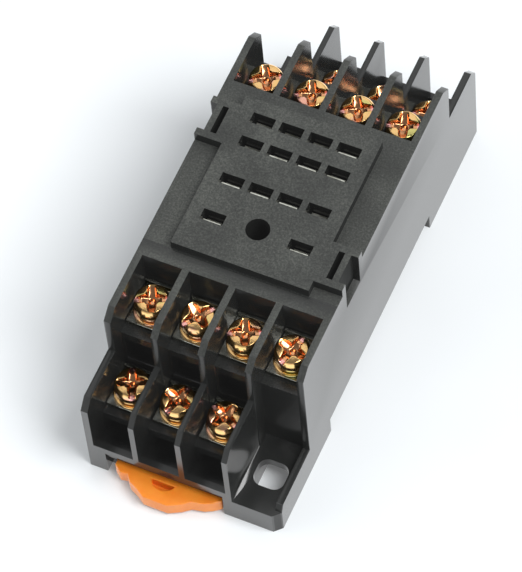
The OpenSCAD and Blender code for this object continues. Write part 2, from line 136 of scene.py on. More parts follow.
def black_moulding(look):
    """Black glass-filled PBT from a steel mould. The faces at the top are spark-eroded and look dull grey
    with a fine salt-and-pepper sparkle; all others are polished and mirror their surroundings."""
    material, tree = new_material("moulded_black_pbt")
    coordinates = add_node(tree, "ShaderNodeTexCoord")
    place = coordinates.outputs["Object"]
    facing = add_node(tree, "ShaderNodeSeparateXYZ", {0: coordinates.outputs["Normal"]})
    upward = add_node(
        tree, "ShaderNodeMapRange", {"Value": facing.outputs["Z"], "From Min": 0.55, "From Max": 0.9}
    )
    spot = add_node(tree, "ShaderNodeSeparateXYZ", {0: place})
    raised = add_node(
        tree,
        "ShaderNodeMapRange",
        {"Value": spot.outputs["Z"], "From Min": look.low_mm * MM, "From Max": look.high_mm * MM},
    )
    textured = multiply(tree, upward.outputs[0], raised.outputs[0])
    # painted shade: a smoother, darker strip lies along the foot of the seat's front face, standing for the
    # face's shade and dark reflection on the deck
    from_seat = add_node(
        tree, "ShaderNodeMath", {0: spot.outputs["Y"], 1: look.seat_front_mm * MM}, operation="SUBTRACT"
    )
    foot = add_node(
        tree,
        "ShaderNodeMapRange",
        {"Value": from_seat.outputs[0], "From Min": -2.6 * MM, "From Max": -0.1 * MM},
        interpolation_type="SMOOTHSTEP",
    )
    on_deck = add_node(
        tree, "ShaderNodeMath", {0: spot.outputs["Z"], 1: look.deck_mm * MM}, operation="LESS_THAN"
    )
    in_front = add_node(tree, "ShaderNodeMath", {0: from_seat.outputs[0], 1: 0.0}, operation="LESS_THAN")
    seat_foot_shade = multiply(tree, multiply(tree, foot.outputs[0], on_deck.outputs[0]), in_front.outputs[0])
    unshaded_part = add_node(
        tree, "ShaderNodeMath", {0: seat_foot_shade, 1: -0.8, 2: 1.0}, operation="MULTIPLY_ADD"
    )
    # painted shade: near the seat's foot the textured colour gives way to the darker polished colour
    textured = multiply(tree, textured, unshaded_part.outputs[0])
    # grain gives the eye the fine sparkle, cloud its slow change over the deck
    grain = add_node(
        tree,
        "ShaderNodeTexNoise",
        {"Vector": place, "Scale": per_mm(look.grain_mm), "Detail": 4.0, "Roughness": 0.8},
    )
    cloud = add_node(
        tree, "ShaderNodeTexNoise", {"Vector": place, "Scale": per_mm(7.0), "Detail": 2.0, "Roughness": 0.5}
    )
    mottle = add_node(
        tree,
        "ShaderNodeMath",
        {0: cloud.outputs["Fac"], 1: 0.35, 2: grain.outputs["Fac"]},
        operation="MULTIPLY_ADD",
    )
    shades = ramp(
        tree,
        mottle.outputs[0],
        [(0.46, look.dark), (0.66, look.colour), (0.86, look.light)],
    )
    colour = add_node(
        tree,
        "ShaderNodeMix",
        {"Factor": textured, "A": look.polished, "B": shades},
        data_type="RGBA",
    )
    roughness = add_node(
        tree,
        "ShaderNodeMapRange",
        {"Value": textured, "To Min": look.polished_roughness, "To Max": look.textured_roughness},
    )
    strength = add_node(
        tree, "ShaderNodeMapRange", {"Value": textured, "To Min": 0.03, "To Max": 0.6}
    )
    bump = add_node(
        tree,
        "ShaderNodeBump",
        {"Strength": strength.outputs[0], "Distance": 0.05 * MM, "Height": grain.outputs["Fac"]},
    )
    # the recesses in the ears' sides get almost no gloss, so they look deep and dark
    side = add_node(tree, "ShaderNodeMath", {0: spot.outputs["X"]}, operation="ABSOLUTE")
    recessed = add_node(
        tree, "ShaderNodeMath", {0: side.outputs[0], 1: look.recess_mm * MM}, operation="LESS_THAN"
    )
    outward = add_node(tree, "ShaderNodeMath", {0: facing.outputs["X"]}, operation="ABSOLUTE")
    high = add_node(
        tree, "ShaderNodeMath", {0: spot.outputs["Z"], 1: look.window_mm * MM}, operation="GREATER_THAN"
    )
    at_ear = add_node(
        tree,
        "ShaderNodeMath",
        {0: side.outputs[0], 1: look.seat_side_mm * MM},
        operation="GREATER_THAN",
    )
    along = add_node(tree, "ShaderNodeMath", {0: spot.outputs["Y"]}, operation="ABSOLUTE")
    near_middle = add_node(
        tree, "ShaderNodeMath", {0: along.outputs[0], 1: look.ear_end_mm * MM}, operation="LESS_THAN"
    )
    dull = multiply(tree, recessed.outputs[0], outward.outputs[0])
    dull = multiply(tree, multiply(tree, dull, high.outputs[0]), at_ear.outputs[0])
    dull = multiply(tree, dull, near_middle.outputs[0])
    specular = add_node(tree, "ShaderNodeMapRange", {"Value": dull, "To Min": 0.5, "To Max": 0.04})
    # the walls inside the bays are made less glossy, so the brass shows in them only faintly
    not_side = add_node(
        tree, "ShaderNodeMath", {0: side.outputs[0], 1: look.outside_mm * MM}, operation="LESS_THAN"
    )
    not_end = add_node(
        tree, "ShaderNodeMath", {0: along.outputs[0], 1: look.end_mm * MM}, operation="LESS_THAN"
    )
    inside = multiply(tree, not_side.outputs[0], not_end.outputs[0])
    upright = add_node(tree, "ShaderNodeMath", {0: facing.outputs["Z"], 1: 0.5}, operation="LESS_THAN")
    inside = multiply(tree, inside, upright.outputs[0])
    fainter = add_node(tree, "ShaderNodeMath", {0: inside, 1: -0.6, 2: 1.0}, operation="MULTIPLY_ADD")
    gloss = multiply(tree, specular.outputs[0], fainter.outputs[0])
    # painted glow: a faint even emission keeps the deep bays from going fully black; the plastic itself gives
    # no light
    shader = add_node(
        tree,
        "ShaderNodeBsdfPrincipled",
        {
            "Base Color": colour.outputs["Result"],
            "Roughness": roughness.outputs[0],
            "IOR": 1.5,
            "Specular IOR Level": gloss,
            "Emission Color": (1.0, 1.0, 1.0, 1.0),
            "Emission Strength": look.painted_glow,
            "Normal": bump.outputs[0],
        },
    )
    shade(tree, shader)
    return material


def orange_moulding(look):
    """Orange polyamide, moulded, slightly translucent and waxy."""
    material, tree = new_material("moulded_orange_polyamide")
    place = add_node(tree, "ShaderNodeTexCoord").outputs["Object"]
    cloud = add_node(
        tree, "ShaderNodeTexNoise", {"Vector": place, "Scale": per_mm(3.0), "Detail": 3.0, "Roughness": 0.6}
    )
    colour = ramp(tree, cloud.outputs["Fac"], [(0.3, look.clip_shade), (0.65, look.clip_colour)])
    fine = add_node(
        tree, "ShaderNodeTexNoise", {"Vector": place, "Scale": per_mm(0.3), "Detail": 2.0, "Roughness": 0.5}
    )
    bump = add_node(
        tree, "ShaderNodeBump", {"Strength": 0.2, "Distance": 0.03 * MM, "Height": fine.outputs["Fac"]}
    )
    shader = add_node(
        tree,
        "ShaderNodeBsdfPrincipled",
        {
            "Base Color": colour,
            "Roughness": 0.38,
            "IOR": 1.53,
            "Subsurface Weight": 0.25,
            "Subsurface Radius": (1.0, 0.35, 0.1),
            "Subsurface Scale": 0.8 * MM,
            "Normal": bump.outputs[0],
        },
    )
    shade(tree, shader)
    return material


def tinned_sheet(look):
    """Tin-plated brass sheet, stamped and folded, with a soft silver shine and fine rolling lines."""
    material, tree = new_material("tinned_brass_sheet")
    coordinates = add_node(tree, "ShaderNodeTexCoord")
    place = coordinates.outputs["Object"]
    along = add_node(
        tree, "ShaderNodeMapping", {"Vector": place, "Scale": (per_mm(0.12), per_mm(2.5), per_mm(0.5))}
    )
    lines = add_node(tree, "ShaderNodeTexNoise", {"Vector": along.outputs[0], "Scale": 1.0, "Detail": 3.0})
    cloud = add_node(
        tree, "ShaderNodeTexNoise", {"Vector": place, "Scale": per_mm(1.6), "Detail": 3.0, "Roughness": 0.6}
    )
    colour = ramp(tree, cloud.outputs["Fac"], [(0.35, look.tin_shade), (0.6, look.tin)])
    shine = add_node(
        tree, "ShaderNodeMapRange", {"Value": lines.outputs["Fac"], "To Min": 0.12, "To Max": 0.24}
    )
    # the sheared tips of the springs are rough, so they catch the lamps as white dashes in the slots
    facing = add_node(tree, "ShaderNodeSeparateXYZ", {0: coordinates.outputs["Normal"]})
    tip_up = add_node(
        tree, "ShaderNodeMath", {0: facing.outputs["Z"], 1: 0.6}, operation="GREATER_THAN"
    )
    spot = add_node(tree, "ShaderNodeSeparateXYZ", {0: place})
    tip_high = add_node(
        tree, "ShaderNodeMath", {0: spot.outputs["Z"], 1: look.tip_mm * MM}, operation="GREATER_THAN"
    )
    tip = multiply(tree, tip_up.outputs[0], tip_high.outputs[0])
    roughness = add_node(
        tree, "ShaderNodeMath", {0: tip, 1: 0.25, 2: shine.outputs[0]}, operation="MULTIPLY_ADD"
    )
    bump = add_node(
        tree, "ShaderNodeBump", {"Strength": 0.08, "Distance": 0.02 * MM, "Height": lines.outputs["Fac"]}
    )
    shader = add_node(
        tree,
        "ShaderNodeBsdfPrincipled",
        {"Base Color": colour, "Metallic": 1.0, "Roughness": roughness.outputs[0], "Normal": bump.outputs[0]},
    )
    shade(tree, shader)
    return material


def yellow_zinc(look, name, offset, headed=False):
    """Zinc plate with a yellow chromate film on steel. The film's thickness varies slowly, so gold turns to
    rose and olive. A screw's recess, whose depth its mesh holds as an attribute, is painted copper as a
    painted reflection of the metal in itself, and the ends of its slot look pink."""
    material, tree = new_material(name)
    coordinates = add_node(tree, "ShaderNodeTexCoord")
    place = add_node(
        tree, "ShaderNodeMapping", {"Vector": coordinates.outputs["Object"], "Location": offset}
    ).outputs[0]
    film = add_node(
        tree,
        "ShaderNodeTexNoise",
        {"Vector": place, "Scale": per_mm(look.film_mm), "Detail": 1.0, "Roughness": 0.4, "Distortion": 0.4},
    )
    colour = ramp(
        tree,
        film.outputs["Fac"],
        [(0.3, look.film_green), (0.42, look.film_gold), (0.6, look.film_gold), (0.72, look.film_rose)],
    )
    if headed:
        # painted reflection: the recess is coloured copper, standing for the metal reflecting itself inside
        # it
        recess = add_node(tree, "ShaderNodeAttribute", attribute_name="recess")
        slot_end = add_node(tree, "ShaderNodeAttribute", attribute_name="slot_end")
        inside = ramp(
            tree,
            recess.outputs["Fac"],
            [(0.05, (0, 0, 0, 1)), (0.35, (1, 1, 1, 1))],
        )
        deep = add_node(
            tree,
            "ShaderNodeMix",
            {"Factor": inside, "A": colour, "B": look.recess_reflection_copper},
            data_type="RGBA",
        )
        tipped = add_node(
            tree,
            "ShaderNodeMix",
            {"Factor": slot_end.outputs["Fac"], "A": deep.outputs["Result"], "B": look.film_pink},
            data_type="RGBA",
        )
        colour = tipped.outputs["Result"]
    wear = add_node(
        tree, "ShaderNodeTexNoise", {"Vector": place, "Scale": per_mm(0.6), "Detail": 3.0, "Roughness": 0.6}
    )
    roughness = add_node(
        tree, "ShaderNodeMapRange", {"Value": wear.outputs["Fac"], "To Min": 0.06, "To Max": 0.26}
    )
    bump = add_node(
        tree, "ShaderNodeBump", {"Strength": 0.3, "Distance": 0.06 * MM, "Height": wear.outputs["Fac"]}
    )
    shader = add_node(
        tree,
        "ShaderNodeBsdfPrincipled",
        {"Base Color": colour, "Metallic": 1.0, "Roughness": roughness.outputs[0], "Normal": bump.outputs[0]},
    )
    shade(tree, shader)
    return material


def studio_paper(look):
    """Matt white paper sweep. The camera sees it lifted towards white, and shiny faces see it a little
    greyer, so that it reads as white and still keeps the object's soft shadow."""
    material, tree = new_material("white_paper")
    place = add_node(tree, "ShaderNodeTexCoord").outputs["Object"]
    fibre = add_node(tree, "ShaderNodeTexNoise", {"Vector": place, "Scale": per_mm(40.0), "Detail": 2.0})
    colour = ramp(
        tree, fibre.outputs["Fac"], [(0.3, hex_colour("#d9dcde")), (0.7, hex_colour("#dee1e3"))]
    )
    path = add_node(tree, "ShaderNodeLightPath")
    seen = add_node(
        tree,
        "ShaderNodeMath",
        {0: path.outputs["Is Camera Ray"], 1: path.outputs["Is Transmission Ray"]},
        operation="MAXIMUM",
    )
    direct = add_node(
        tree, "ShaderNodeMath", {0: seen.outputs[0], 1: look.floor_lift}, operation="MULTIPLY"
    )
    lift = add_node(
        tree,
        "ShaderNodeMath",
        {0: path.outputs["Is Glossy Ray"], 1: look.floor_mirror, 2: direct.outputs[0]},
        operation="MULTIPLY_ADD",
    )
    paper = add_node(tree, "ShaderNodeBsdfDiffuse", {"Color": colour, "Roughness": 0.5})
    glow = add_node(
        tree, "ShaderNodeEmission", {"Color": hex_colour("#ffffff"), "Strength": lift.outputs[0]}
    )
    both = add_node(tree, "ShaderNodeAddShader", {0: paper.outputs[0], 1: glow.outputs[0]})
    shade(tree, both)
    return material


# ---------------------------------------------------------------- meshes


def finish_piece(piece, material, body, slot, *nodes):
    """Gives a piece its material and body, and hides the frame nodes that it stands for; the slot is not
    used.
    """
    piece.data.materials.clear()
    piece.data.materials.append(material)
    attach(piece, body)
    if nodes:
        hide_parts(*nodes)


def add_object(name, mesh):
    piece = bpy.data.objects.new(name, mesh)
    bpy.context.scene.collection.objects.link(piece)
    return piece


def softened_copy(node, name, width, segments=2, angle=28.0):
    """Copy of a frame node with its edges rounded: its triangles are merged, flat faces are joined again,
    and each edge sharper than the angle is bevelled to the width."""
    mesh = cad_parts[node].data.copy()
    mesh.name = name
    form = bmesh.new()
    form.from_mesh(mesh)
    bmesh.ops.remove_doubles(form, verts=form.verts, dist=0.002 * MM)
    bmesh.ops.dissolve_limit(
        form, angle_limit=math.radians(0.6), verts=form.verts, edges=form.edges, delimit={"NORMAL"}
    )
    form.to_mesh(mesh)
    form.free()
    mesh.materials.clear()
    piece = add_object(name, mesh)
    bevel = piece.modifiers.new("soft_edges", "BEVEL")
    bevel.width = width
    bevel.segments = segments
    bevel.limit_method = "ANGLE"
    bevel.angle_limit = math.radians(angle)
    bevel.harden_normals = False
    bevel.use_clamp_overlap = True
    mesh.shade_smooth()
    mesh.set_sharp_from_angle(angle=math.radians(angle))
    return piece


def grid_mesh(name, points, wrap_u=False, wrap_v=False, fields=None):
    """Mesh of a grid of points, shape (rows, columns, 3), closed round in either way. Points that meet at a
    pole are merged, and the faces are turned outwards. Each field is kept as an attribute of the points."""
    rows, columns = points.shape[:2]
    index = np.arange(rows * columns).reshape(rows, columns)
    if wrap_u:
        index = np.vstack([index, index[:1]])
    if wrap_v:
        index = np.hstack([index, index[:, :1]])
    quads = np.stack([index[:-1, :-1], index[:-1, 1:], index[1:, 1:], index[1:, :-1]], axis=-1).reshape(-1, 4)
    mesh = bpy.data.meshes.new(name)
    mesh.from_pydata(points.reshape(-1, 3).tolist(), [], quads.tolist())
    for field, values in (fields or {}).items():
        attribute = mesh.attributes.new(field, "FLOAT", "POINT")
        attribute.data.foreach_set("value", values.reshape(-1).astype(np.float32))
    form = bmesh.new()
    form.from_mesh(mesh)
    bmesh.ops.remove_doubles(form, verts=form.verts, dist=1e-7)
    bmesh.ops.holes_fill(form, edges=[e for e in form.edges if e.is_boundary])
    bmesh.ops.recalc_face_normals(form, faces=form.faces)
    form.to_mesh(mesh)
    form.free()
    mesh.shade_smooth()
    mesh.set_sharp_from_angle(angle=math.radians(38))
    return mesh


def smooth_step(low, high, x):
    """0 below low, 1 above high, and a smooth cubic between."""
    t = np.clip((x - low) / (high - low), 0, 1)
    return t * t * (3 - 2 * t)


def screw_points(look, radius, top, under, tip, shank_radius, turn):
    """Pan-head screw as one grid: each column is a direction round the axis, and each row a step along the
    profile, from the middle of the top over the rim, down the shank to the tip.

    The crown falls by 0.1 of the head's height times (rho / flat) squared, up to the radius flat = 0.79 of
    the head's. A quarter ellipse leads from there down to 0.6 of the height at the rim. From this top, the
    deepest of three forms is cut: a slot from rim to rim, of half width slot; a cross, whose arms narrow
    outwards as arm * (1 - 0.4 * rho / reach) and rise as 1 - (rho / reach) squared; and a cone in the middle.
    Each has walls that slope over wall. The shank's radius follows a helix, a triangle wave of height plus
    angle. The depth cut and the nearness to the slot's ends are returned as well, from 0 to 1."""
    angles = np.linspace(0, 2 * math.pi, look.screw_columns, endpoint=False)
    head = top - under
    rim = 0.16 * head
    flat = 0.79
    crown_rho = radius * np.linspace(0, flat, 34)
    crown_drop = 0.1 * head * (crown_rho / crown_rho[-1]) ** 2
    bend = np.linspace(0.12, 1, 10) * math.pi / 2
    edge_rho = radius * (flat + (1 - flat) * np.sin(bend))
    edge_drop = head * (0.1 + 0.5 * (1 - np.cos(bend)))
    rho = np.concatenate([crown_rho, edge_rho])[:, None] + np.zeros(len(angles))
    drop = np.concatenate([crown_drop, edge_drop])[:, None]
    x = rho * np.cos(angles)
    y = rho * np.sin(angles)
    wall = look.wall_mm * MM
    slot_half = look.slot_mm / 2 * MM
    slot_depth = look.slot_depth_mm * MM
    slot_floor = np.maximum(slot_depth - drop, 0)
    slot = slot_floor * (1 - smooth_step(slot_half - 0.5 * wall, slot_half + 0.5 * wall, np.abs(y)))
    reach = look.reach * radius
    arm_half = look.arm_mm / 2 * MM * (1 - 0.4 * rho / reach)
    across = np.minimum(np.abs(x), np.abs(y))
    arm = look.arm_depth_mm * MM * np.clip(1 - (rho / reach) ** 2, 0, 1)
    arm = arm * (1 - smooth_step(arm_half - 0.5 * wall, arm_half + 0.5 * wall, across))
    cone_radius = look.cone_mm / 2 * MM
    cone = look.cone_depth_mm * MM * np.clip(1.25 - 1.25 * rho / cone_radius, 0, 1)
    depth = np.minimum(np.maximum(np.maximum(slot, arm), cone), 0.8 * head)
    z_top = top - drop - depth
    slot_end = smooth_step(0.68 * radius, 0.78 * radius, rho) * (np.abs(y) < slot_half)

    rows_rho, rows_z = [rho], [z_top]
    floor_at_rim = z_top[-1]
    for z in np.linspace(top - 0.66 * head, under + 0.06 * head, 4):
        rows_rho.append(np.full((1, len(angles)), radius))
        rows_z.append(np.minimum(z, floor_at_rim)[None, :])
    rows_rho.append(np.full((1, len(angles)), radius - rim * 0.4))
    rows_z.append(np.full((1, len(angles)), under))
    z_shank = np.linspace(under, tip + 0.3 * MM, look.screw_rows)[:, None]
    phase = z_shank / (0.5 * MM) - angles / (2 * math.pi)
    ridge = np.abs(2 * (phase - np.floor(phase + 0.5)))
    fade = smooth_step(0, 0.6 * MM, under - z_shank)
    rows_rho.append(shank_radius - 0.22 * MM * ridge * fade)
    rows_z.append(np.broadcast_to(z_shank, (len(z_shank), len(angles))))
    rows_rho.append(np.vstack([np.full(len(angles), 0.7 * shank_radius), np.zeros(len(angles))]))
    rows_z.append(np.full((2, len(angles)), tip))
    rho = np.vstack(rows_rho)
    z = np.vstack(rows_z)
    points = np.stack([rho * np.cos(angles + turn), rho * np.sin(angles + turn), z], axis=-1)
    fields = {}
    for name, values in (("recess", depth / slot_depth), ("slot_end", slot_end)):
        field = np.zeros(rho.shape)
        field[: len(values)] = np.clip(values, 0, 1)
        fields[name] = field
    return points, fields


def ring_points(inner, outer, low, high, soft, rise=0.0, start=0.0, sweep=2 * math.pi, columns=72):
    """Ring as a grid: a rectangle with clipped corners carried round the axis, raised steadily by rise."""
    closed = sweep >= 2 * math.pi
    angles = start + np.linspace(0, sweep, columns, endpoint=not closed)
    section = np.array(
        [
            [inner + soft, low],
            [outer - soft, low],
            [outer - 0.3 * soft, low + 0.3 * soft],
            [outer, low + soft],
            [outer, high - soft],
            [outer - 0.3 * soft, high - 0.3 * soft],
            [outer - soft, high],
            [inner + soft, high],
            [inner, high - soft],
            [inner, low + soft],
        ]
    )
    rho = section[:, 0][None, :]
    lift = rise * (np.arange(columns) / (columns - 1) if not closed else np.zeros(columns))
    z = section[:, 1][None, :] + lift[:, None]
    z = np.broadcast_to(z, (columns, len(section)))
    return np.stack([rho * np.cos(angles)[:, None], rho * np.sin(angles)[:, None], z], axis=-1)


def middle(node):
    """Middle of a frame node's box in X and Y."""
    low, high = (Vector(corner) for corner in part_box(node))
    return (low.x + high.x) / 2, (low.y + high.y) / 2


# ---------------------------------------------------------------- properties


class HousingLook(bpy.types.PropertyGroup):
    edge_mm: bpy.props.FloatProperty(
        name="Edge radius", description="Rounding of the housing's edges, mm", default=0.14, min=0.02, max=0.4
    )
    grain_mm: bpy.props.FloatProperty(
        name="Grain", description="Size of the spark-eroded grain, mm", default=0.3, min=0.05, max=1
    )
    low_mm: bpy.props.FloatProperty(
        name="Dull from",
        description="Height where faces start to be textured, mm",
        default=18.5,
        min=0,
        max=30,
    )
    high_mm: bpy.props.FloatProperty(
        name="Dull to", description="Height where faces are fully textured, mm", default=25.0, min=0, max=30
    )
    deck_mm: bpy.props.FloatProperty(
        name="Deck", description="Height just above the deck, mm", default=27.4, min=0, max=30
    )
    seat_front_mm: bpy.props.FloatProperty(
        name="Seat front",
        description="Where the seat's front face stands, mm",
        default=-12.95,
        min=-20,
        max=0,
    )
    recess_mm: bpy.props.FloatProperty(
        name="Window recess",
        description="Distance from the middle to just above the ear windows' floors, mm",
        default=14.4,
        min=10,
        max=15,
    )
    seat_side_mm: bpy.props.FloatProperty(
        name="Seat side",
        description="Distance from the middle to the seat's side, mm",
        default=10.6,
        min=8,
        max=12,
    )
    outside_mm: bpy.props.FloatProperty(
        name="Outside", description="Distance from the middle where the outer sides begin, mm", default=14.6
    )
    end_mm: bpy.props.FloatProperty(
        name="Ends",
        description="Distance from the middle where the front and rear faces begin, mm",
        default=35.8,
    )
    # painted glow of the moulding, not a lamp
    painted_glow: bpy.props.FloatProperty(
        name="Bay glow",
        description="Faint even glow that keeps the deep bays from going fully black",
        default=0.006,
        min=0,
        max=0.1,
    )
    ear_end_mm: bpy.props.FloatProperty(
        name="Ear end",
        description="Distance from the middle to the ears' far ends, mm",
        default=11.3,
        min=8,
        max=14,
    )
    window_mm: bpy.props.FloatProperty(
        name="Window foot", description="Height where the ear windows start, mm", default=22.0, min=15, max=28
    )
    polished_roughness: bpy.props.FloatProperty(
        name="Polished roughness", description="Roughness of the polished faces", default=0.18, min=0, max=1
    )
    textured_roughness: bpy.props.FloatProperty(
        name="Textured roughness", description="Roughness of the textured faces", default=0.6, min=0, max=1
    )
    colour: bpy.props.FloatVectorProperty(
        name="Colour",
        description="Colour of the textured faces",
        subtype="COLOR",
        size=4,
        default=hex_colour("#2d2f2c"),
    )
    dark: bpy.props.FloatVectorProperty(
        name="Dark grain",
        description="Colour in the low grain",
        subtype="COLOR",
        size=4,
        default=hex_colour("#171816"),
    )
    light: bpy.props.FloatVectorProperty(
        name="Light grain",
        description="Colour of the high grain",
        subtype="COLOR",
        size=4,
        default=hex_colour("#4c4e49"),
    )
    polished: bpy.props.FloatVectorProperty(
        name="Polished colour",
        description="Colour of the polished faces",
        subtype="COLOR",
        size=4,
        default=hex_colour("#1d1e1d"),
    )


class MetalLook(bpy.types.PropertyGroup):
    film_mm: bpy.props.FloatProperty(
        name="Film patches", description="Size of the patches of one tint, mm", default=3.2, min=0.2, max=9
    )
    slot_mm: bpy.props.FloatProperty(
        name="Slot width", description="Width of the screw slots, mm", default=0.8, min=0.3, max=1.5
    )
    slot_depth_mm: bpy.props.FloatProperty(
        name="Slot depth", description="Depth of the screw slots, mm", default=0.8, min=0.3, max=1.5
    )
    arm_mm: bpy.props.FloatProperty(
        name="Arm width", description="Width of the cross-arms at the middle, mm", default=1.5, min=0.3, max=2
    )
    arm_depth_mm: bpy.props.FloatProperty(
        name="Arm depth",
        description="Depth of the cross-arms at the middle, mm",
        default=1.15,
        min=0.3,
        max=2,
    )
    reach: bpy.props.FloatProperty(
        name="Arm reach",
        description="Where the cross-arms run out, as a part of the head's radius",
        default=0.86,
        min=0.3,
        max=1,
    )
    wall_mm: bpy.props.FloatProperty(
        name="Recess walls",
        description="Width over which the walls of a recess slope, mm",
        default=0.3,
        min=0.05,
        max=1,
    )
    cone_mm: bpy.props.FloatProperty(
        name="Recess width", description="Width of the middle recess, mm", default=2.5, min=0.5, max=4
    )
    cone_depth_mm: bpy.props.FloatProperty(
        name="Recess depth", description="Depth of the middle recess, mm", default=1.5, min=0.3, max=2
    )
    screw_columns: bpy.props.IntProperty(
        name="Screw columns", description="Steps round a screw", default=144, min=32, max=256
    )
    screw_rows: bpy.props.IntProperty(
        name="Screw rows", description="Steps along a screw's thread", default=64, min=16, max=128
    )
    sheet_edge_mm: bpy.props.FloatProperty(
        name="Sheet edge", description="Rounding of the stamped edges, mm", default=0.07, min=0.01, max=0.3
    )
    tip_mm: bpy.props.FloatProperty(
        name="Spring tips",
        description="Height above which the springs' tips show in the slots, mm",
        default=25.0,
        min=20,
        max=29,
    )
    film_gold: bpy.props.FloatVectorProperty(
        name="Gold",
        description="Film where it is gold",
        subtype="COLOR",
        size=4,
        default=hex_colour("#f0c383"),
    )
    # painted reflection: copper that stands for the metal reflecting itself inside a screw's recess
    recess_reflection_copper: bpy.props.FloatVectorProperty(
        name="Copper",
        description="Film inside a recess",
        subtype="COLOR",
        size=4,
        default=hex_colour("#d89c70"),
    )
    film_rose: bpy.props.FloatVectorProperty(
        name="Rose",
        description="Film where it is rose",
        subtype="COLOR",
        size=4,
        default=hex_colour("#eaae98"),
    )
    film_pink: bpy.props.FloatVectorProperty(
        name="Pink",
        description="Film at the ends of a slot",
        subtype="COLOR",
        size=4,
        default=hex_colour("#f0b0a8"),
    )
    film_green: bpy.props.FloatVectorProperty(
        name="Olive",
        description="Film where it is olive",
        subtype="COLOR",
        size=4,
        default=hex_colour("#cfc47a"),
    )
    tin: bpy.props.FloatVectorProperty(
        name="Tin",
        description="Tin plate",
        subtype="COLOR",
        size=4,
        default=hex_colour("#d6d6cc"),
    )
    tin_shade: bpy.props.FloatVectorProperty(
        name="Dull tin",
        description="Tin plate where it is dull",
        subtype="COLOR",
        size=4,
        default=hex_colour("#9c9c90"),
    )


class ClipLook(bpy.types.PropertyGroup):
    clip_edge_mm: bpy.props.FloatProperty(
        name="Edge radius", description="Rounding of the clip's edges, mm", default=0.3, min=0.02, max=0.6
    )
    clip_colour: bpy.props.FloatVectorProperty(
        name="Orange",
        description="Colour of the clip",
        subtype="COLOR",
        size=4,
        default=hex_colour("#f0902c"),
    )
    clip_shade: bpy.props.FloatVectorProperty(
        name="Deep orange",
        description="Colour of the clip where it is thick",
        subtype="COLOR",
        size=4,
        default=hex_colour("#ea821f"),
    )


class StageLook(bpy.types.PropertyGroup):
    key_power: bpy.props.FloatProperty(
        name="Key power", description="Power of the large lamp, W", default=9.0, min=0, max=100
    )
    card_power: bpy.props.FloatProperty(
        name="Card power",
        description="Power of the soft card behind that the plates mirror, W",
        default=1.5,
        min=0,
        max=10,
    )
    fill_power: bpy.props.FloatProperty(
        name="Fill power", description="Power of the side lamp, W", default=2.0, min=0, max=100
    )
    floor_lift: bpy.props.FloatProperty(
        name="Floor lift",
        description="Glow of the paper where the camera sees it",
        default=0.12,
        min=0,
        max=1,
    )
    floor_mirror: bpy.props.FloatProperty(
        name="Floor in mirrors",
        description="Glow of the paper where shiny faces see it",
        default=0.6,
        min=0,
        max=1,
    )
    sky: bpy.props.FloatVectorProperty(
        name="Ceiling",
        description="Colour of the room above",
        subtype="COLOR",
        size=4,
        default=hex_colour("#7d8083"),
    )
    horizon: bpy.props.FloatVectorProperty(
        name="Walls",
        description="Colour of the room's bright walls",
        subtype="COLOR",
        size=4,
        default=hex_colour("#f4f6f7"),
    )


# ---------------------------------------------------------------- operators


class SOCKET_OT_housing(bpy.types.Operator):
    """Builds the softened black housing and its bottom cover"""

    bl_idname = "socket.housing"
    bl_label = "Housing"

    def execute(self, context):
        look = context.scene.socket_housing
        plastic = black_moulding(look)
        for node, name in (("housing", "housing_shell"), ("bottom_cover", "cover_plate")):
            piece = softened_copy(node, name, look.edge_mm * MM)
            finish_piece(piece, plastic, "root", "black_plastic", node)
        return {"FINISHED"}


class SOCKET_OT_clip(bpy.types.Operator):
    """Builds the orange rail clip"""

    bl_idname = "socket.clip"
    bl_label = "Rail clip"

    def execute(self, context):
        look = context.scene.socket_clip
        piece = softened_copy("rail_clip", "clip_slider", look.clip_edge_mm * MM, 3)
        finish_piece(piece, orange_moulding(look), "rail_clip", "orange_plastic", "rail_clip")
        return {"FINISHED"}


class SOCKET_OT_contacts(bpy.types.Operator):
    """Builds the tinned contacts"""

    bl_idname = "socket.contacts"
    bl_label = "Contacts"

    def execute(self, context):
        look = context.scene.socket_metal
        sheet = tinned_sheet(look)
        for number in TERMINALS:
            piece = softened_copy(f"terminal_{number}", f"contact_{number}", look.sheet_edge_mm * MM)
            finish_piece(piece, sheet, "root", "tinned_brass", f"terminal_{number}")
        return {"FINISHED"}


class SOCKET_OT_screws(bpy.types.Operator):
    """Builds the terminal screws with their slots, cross recesses and threads"""

    bl_idname = "socket.screws"
    bl_label = "Screws"

    def execute(self, context):
        look = context.scene.socket_metal
        for count, number in enumerate(TERMINALS):
            node = f"terminal_screw_{number}"
            x, y = middle(node)
            low, high = (Vector(corner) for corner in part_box(node))
            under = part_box(f"spring_washer_{number}")[1][2] + 0.04 * MM
            points, fields = screw_points(
                look,
                (high.x - low.x) / 2,
                high.z,
                under,
                low.z,
                SHANK_RADIUS,
                math.radians(SCREW_TURNS[count]),
            )
            mesh = grid_mesh(f"screw_{number}", points + [x, y, 0], wrap_v=True, fields=fields)
            piece = add_object(f"screw_{number}", mesh)
            film = yellow_zinc(look, f"yellow_zinc_{number}", (0.0, 0.0, 0.011 * count), headed=True)
            finish_piece(piece, film, f"screw_{number}", "yellow_zinc", node)
        return {"FINISHED"}


